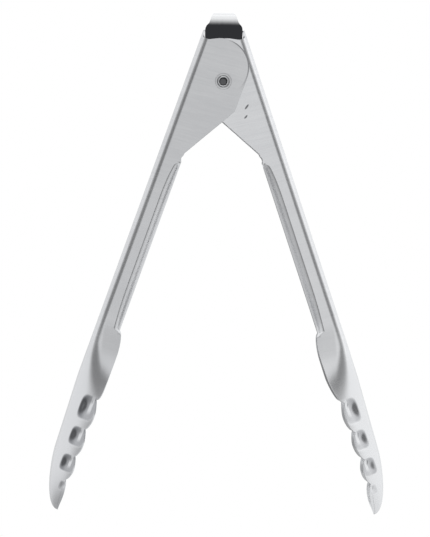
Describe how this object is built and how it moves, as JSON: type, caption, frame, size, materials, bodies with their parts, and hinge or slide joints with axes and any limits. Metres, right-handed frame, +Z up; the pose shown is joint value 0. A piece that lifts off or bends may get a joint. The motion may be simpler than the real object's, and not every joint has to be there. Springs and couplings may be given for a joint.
{
  "type": "kitchen tongs",
  "caption": "Spring loaded kitchen tongs with scalloped spoon heads, folded channel handles and a pull tab lock at the hinge.",
  "frame": {"origin": "on the surface under the open tongs, midway between the two tips", "axes": "+Z up from the tips to the hinge, +Y along the pivot towards the back, the arms open along X"},
  "size_m": [0.1934, 0.042, 0.2887],
  "materials": {
    "arm_sheet": "brushed stainless sheet",
    "rivet_steel": "bright turned steel",
    "spring_wire": "drawn spring wire",
    "polished_strip": "mirror polished strip"
  },
  "bodies": {
    "pivot": {"pivot_rivet": "rivet_steel", "spacer_sleeve": "rivet_steel", "spring_coil": "spring_wire"},
    "left_arm": {"left_arm": "arm_sheet", "spring_leg_left": "spring_wire"},
    "right_arm": {"right_arm": "arm_sheet", "spring_leg_right": "spring_wire"},
    "lock": {"lock_slider": "polished_strip"}
  },
  "joints": [
    {"name": "left_swing", "type": "hinge", "parent": "pivot", "child": "left_arm", "pos_m": [0, 0, 0.24874], "axis": [0, -1, 0], "range_deg": [0, 20.18], "stiffness_Nm_per_rad": 0.35, "springref_deg": -45.84},
    {"name": "right_swing", "type": "hinge", "parent": "pivot", "child": "right_arm", "pos_m": [0, 0, 0.24874], "axis": [0, -1, 0], "range_deg": [-20.18, 0], "stiffness_Nm_per_rad": 0.35, "springref_deg": 45.84},
    {"name": "lock_slide", "type": "slide", "parent": "pivot", "child": "lock", "axis": [0, 0, 1], "range_m": [0, 0.0064]}
  ],
  "couplings": [
    {"joint": "right_swing", "follows": "left_swing", "ratio": -1}
  ]
}
